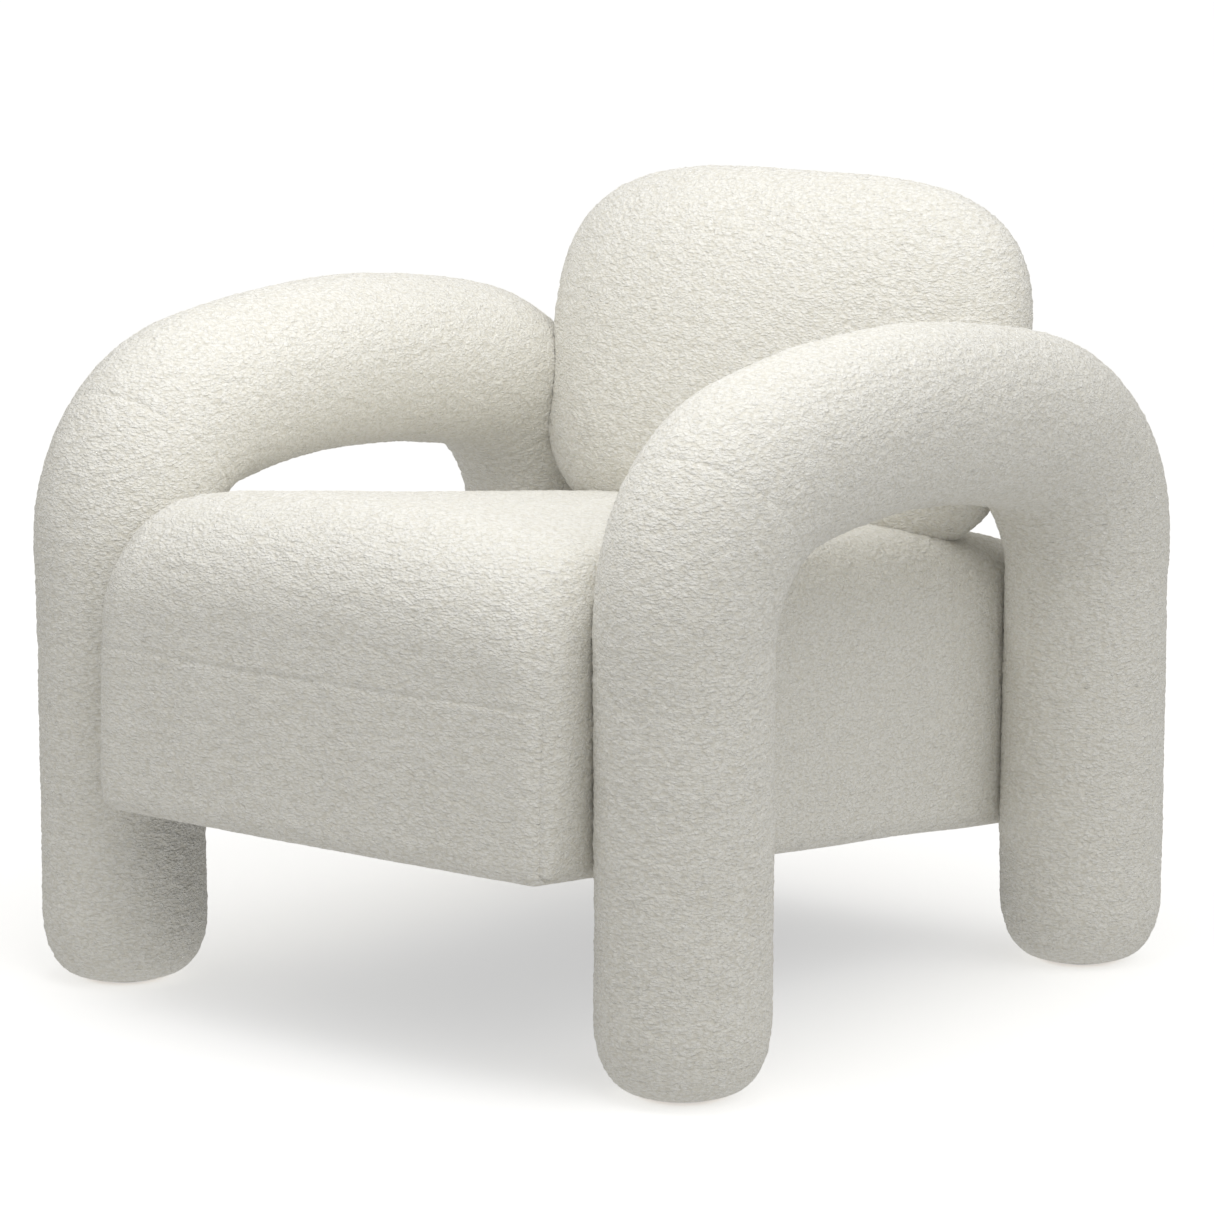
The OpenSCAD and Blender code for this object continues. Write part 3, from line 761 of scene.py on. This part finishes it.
def boucle_material():
    """Looped yarn: curled nubs with painted shade in the crevices between them, fibres on the nubs, a soft
    sheen.
    """
    m = Material("boucle")
    vector = warp(m, m.stretched(YARN_STRETCH), 190, 0.006)
    nubs = m.math("SUBTRACT", 1.0, m.math("MULTIPLY", m.cells(vector, 250), 1.35))
    fibres = m.noise(vector, 720, 2.0, 0.4)
    clumps = m.noise(vector, 90, 1.0)
    height = m.math("ADD", m.math("MULTIPLY", nubs, 0.75), m.math("MULTIPLY", fibres, 0.35))
    height = m.math("ADD", height, m.math("MULTIPLY", clumps, 0.35))
    m.bump(height, 1.7 * MM, 1.0)
    # the colour follows the relief as painted shade: low places between the nubs are darker and warmer,
    # the nub tops lighter
    m.ramp(height, [(0.3, (0.79, 0.765, 0.69)),
                    (0.65, (0.885, 0.87, 0.815)),
                    (1.0, (0.935, 0.926, 0.895))])
    m.set(Roughness=1.0, Specular_IOR_Level=0.1, Sheen_Weight=0.3, Sheen_Roughness=0.5)
    return m.mat


def timber_material():
    m = Material("timber")
    grain = m.noise(m.stretched((14, 14, 1.5)), 9, 6.0, 1.2)
    m.ramp(grain, [(0.35, (0.52, 0.36, 0.20)), (0.65, (0.72, 0.54, 0.34))])
    m.bump(grain, 0.3 * MM)
    m.set(Roughness=0.6)
    return m.mat


def plywood_material():
    m = Material("plywood")
    plies = m.noise(m.stretched((2, 2, 60)), 8, 3.0, 0.3)
    m.ramp(plies, [(0.4, (0.56, 0.40, 0.24)), (0.6, (0.76, 0.60, 0.40))])
    m.bump(plies, 0.3 * MM)
    m.set(Roughness=0.65)
    return m.mat


def steel_material():
    m = Material("steel")
    streaks = m.noise(m.stretched((30, 30, 400)), 4, 3.0)
    m.ramp(streaks, [(0.3, (0.50, 0.50, 0.50)), (0.7, (0.66, 0.66, 0.67))])
    m.bump(streaks, 0.05 * MM)
    m.set(Metallic=1.0, Roughness=0.38)
    return m.mat


def felt_material():
    m = Material("felt")
    fibres = m.noise(m.coords, 900, 4.0, 1.5)
    m.ramp(fibres, [(0.3, (0.10, 0.10, 0.09)), (0.7, (0.24, 0.23, 0.21))])
    m.bump(fibres, 0.4 * MM)
    m.set(Roughness=1.0)
    return m.mat


def foam_material():
    m = Material("foam")
    pores = m.cells(m.coords, 900)
    m.ramp(pores, [(0.2, (0.80, 0.74, 0.52)), (0.6, (0.88, 0.83, 0.62))])
    m.bump(pores, 0.3 * MM)
    m.set(Roughness=1.0)
    return m.mat


def lining_material():
    m = Material("lining")
    fibres = m.noise(m.coords, 1100, 3.0, 2.0)
    m.ramp(fibres, [(0.3, (0.008, 0.008, 0.008)), (0.7, (0.022, 0.022, 0.022))])
    m.bump(fibres, 0.2 * MM)
    m.set(Roughness=0.9)
    return m.mat


def glide_material():
    m = Material("glide")
    grains = m.noise(m.coords, 700, 2.0)
    m.ramp(grains, [(0.3, (0.020, 0.018, 0.016)), (0.7, (0.034, 0.031, 0.028))])
    m.bump(grains, 0.1 * MM)
    m.set(Roughness=0.5)
    return m.mat


MATERIALS = {
    "boucle": boucle_material(), "timber": timber_material(), "plywood": plywood_material(),
    "steel": steel_material(), "felt": felt_material(), "foam": foam_material(),
    "lining": lining_material(), "glide": glide_material(),
}


def give_material(obj, slot):
    obj.data.materials.clear()
    obj.data.materials.append(MATERIALS[slot])


# ---------- stage, light and camera ----------

FLOOR_HALF = 40
SUN_FROM = (85, 42)
SOFTBOX_AT, SOFTBOX_AIM = (0.08, -0.24, 1.30), (0.0, 0.10, 0.45)
CAMERA_FROM = (38.64, 9.96)
CAMERA_DISTANCE = 4.61
CAMERA_TARGET = (0.0043, 0.0134, 0.3452)


def aim(obj, place, target):
    obj.location = place
    obj.rotation_mode = "QUATERNION"
    obj.rotation_quaternion = (Vector(target) - Vector(place)).to_track_quat("-Z", "Y")


def direction(azimuth, elevation):
    """Unit vector towards an azimuth, 0 in front of the chair and 90 at its left, and an elevation."""
    a, e = math.radians(azimuth), math.radians(elevation)
    return np.array([math.sin(a) * math.cos(e), -math.cos(a) * math.cos(e), math.sin(e)])


def floor():
    """A wide pale floor that glows a little, so that it reads white."""
    points = FLOOR_HALF * np.array([[-1, -1, 0], [1, -1, 0], [1, 1, 0], [-1, 1, 0]], float)
    obj = make_object("floor", points, np.array([[0, 1, 2, 3]]))
    m = Material("floor")
    m.set(Base_Color=(0.80, 0.80, 0.80, 1), Roughness=0.9, Specular_IOR_Level=0.1)
    m.set(Emission_Color=(1, 1, 1, 1), Emission_Strength=0.48)
    obj.data.materials.append(m.mat)
    # a floor lit to pure white would flood the chair from below
    obj.visible_diffuse = False


def add_light(name, kind, place, target, strength):
    light = bpy.data.lights.new(name, kind)
    light.energy = strength
    obj = bpy.data.objects.new(name, light)
    bpy.context.scene.collection.objects.link(obj)
    aim(obj, place, target)
    return light


def lights():
    """A pale sky, a wide soft light from the chair's left and a softbox over the seat."""
    side = add_light("side_light", "SUN", tuple(3 * direction(*SUN_FROM)), (0, 0, 0), 0.50)
    side.angle = math.radians(60)
    softbox = add_light("softbox", "AREA", SOFTBOX_AT, SOFTBOX_AIM, 5.6)
    softbox.size = 1.1
    world = bpy.data.worlds.new("studio")
    world.use_nodes = True
    sky = world.node_tree.nodes["Background"]
    sky.inputs["Color"].default_value = (1, 0.99, 0.96, 1)
    sky.inputs["Strength"].default_value = 0.58
    bpy.context.scene.world = world


def camera():
    """The view of the reference: a long lens, a little above the arms."""
    data = bpy.data.cameras.new("camera")
    data.lens = 146.83
    data.sensor_width = 36
    obj = bpy.data.objects.new("camera", data)
    bpy.context.scene.collection.objects.link(obj)
    target = np.array(CAMERA_TARGET)
    aim(obj, tuple(target + CAMERA_DISTANCE * direction(*CAMERA_FROM)), CAMERA_TARGET)
    bpy.context.scene.camera = obj
    bpy.context.scene.view_settings.view_transform = "Standard"


# ---------- the chair ----------

boucle_pieces = arm_pieces(1, "left") + arm_pieces(-1, "right") + seat_pieces() + back_pieces()
for piece in boucle_pieces:
    give_material(piece, "boucle")
    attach(piece, "root")

cloth = dust_cover()
give_material(cloth, "lining")
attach(cloth, "root")

for part in frame["record"]["subparts"]:
    give_material(frame["nodes"][part["node"]], part["material_slot"])

floor()
lights()
camera()
